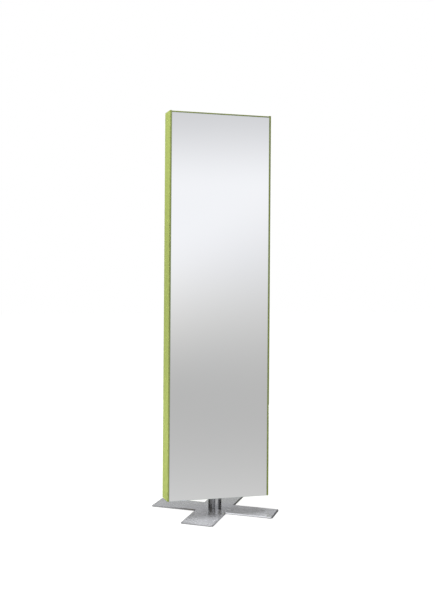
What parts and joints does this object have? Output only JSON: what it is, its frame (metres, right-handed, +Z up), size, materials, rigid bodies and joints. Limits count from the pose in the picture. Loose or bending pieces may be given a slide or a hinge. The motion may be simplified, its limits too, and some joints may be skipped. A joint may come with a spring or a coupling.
{
  "type": "swivelling floor mirror",
  "caption": "Full-length free-standing mirror in a slim lacquered case that swivels on a short steel column over a flat cross-shaped steel foot.",
  "frame": {"origin": "on the swivel axis at floor level, which is the middle of the underside of the whole mirror's box", "axes": "+Z up along the swivel axis; the mirror side faces -Y at rest; +X to the right of someone looking into the mirror"},
  "size_m": [0.5384, 0.5384, 1.8],
  "materials": {
    "lacquer": "satin lime green lacquer on fibreboard",
    "mirror": "silvered float glass with polished edges",
    "brushed_plate": "brushed stainless steel, satin",
    "brushed_column": "brushed stainless steel tube, satin",
    "machined_steel": "turned steel",
    "screw_steel": "bright zinc-plated steel",
    "housing_paint": "black powder coat",
    "bearing_plastic": "natural bearing plastic",
    "pad_rubber": "black rubber",
    "tape_foam": "black foam tape",
    "fibreboard": "bare fibreboard",
    "timber": "planed softwood"
  },
  "bodies": {
    "foot": {"foot_plate": "brushed_plate", "floor_pads": "pad_rubber", "foot_screws": "screw_steel", "shaft_screw": "screw_steel", "column_hub": "machined_steel", "column_tube": "brushed_column", "column_cap": "machined_steel", "swivel_shaft": "machined_steel", "thrust_washer": "bearing_plastic", "keeper_washer": "screw_steel", "keeper_bolt": "screw_steel"},
    "case": {"bearing_housing": "housing_paint", "lower_bush": "bearing_plastic", "upper_bush": "bearing_plastic", "flange_screws": "screw_steel", "bottom_board": "fibreboard", "bottom_board_screws": "screw_steel", "left_stile": "timber", "right_stile": "timber", "lower_rail": "timber", "middle_rail": "timber", "upper_rail": "timber", "frame_dowels": "timber", "left_side_board": "lacquer", "right_side_board": "lacquer", "top_board": "lacquer", "backing_board": "fibreboard", "mirror_tape": "tape_foam", "mirror_glass": "mirror", "rear_panel": "lacquer", "rear_panel_screws": "screw_steel"}
  },
  "joints": [
    {"name": "case_swivel", "type": "hinge", "parent": "foot", "child": "case", "pos_m": [0, 0, 0], "axis": [0, 0, 1], "continuous": true}
  ]
}
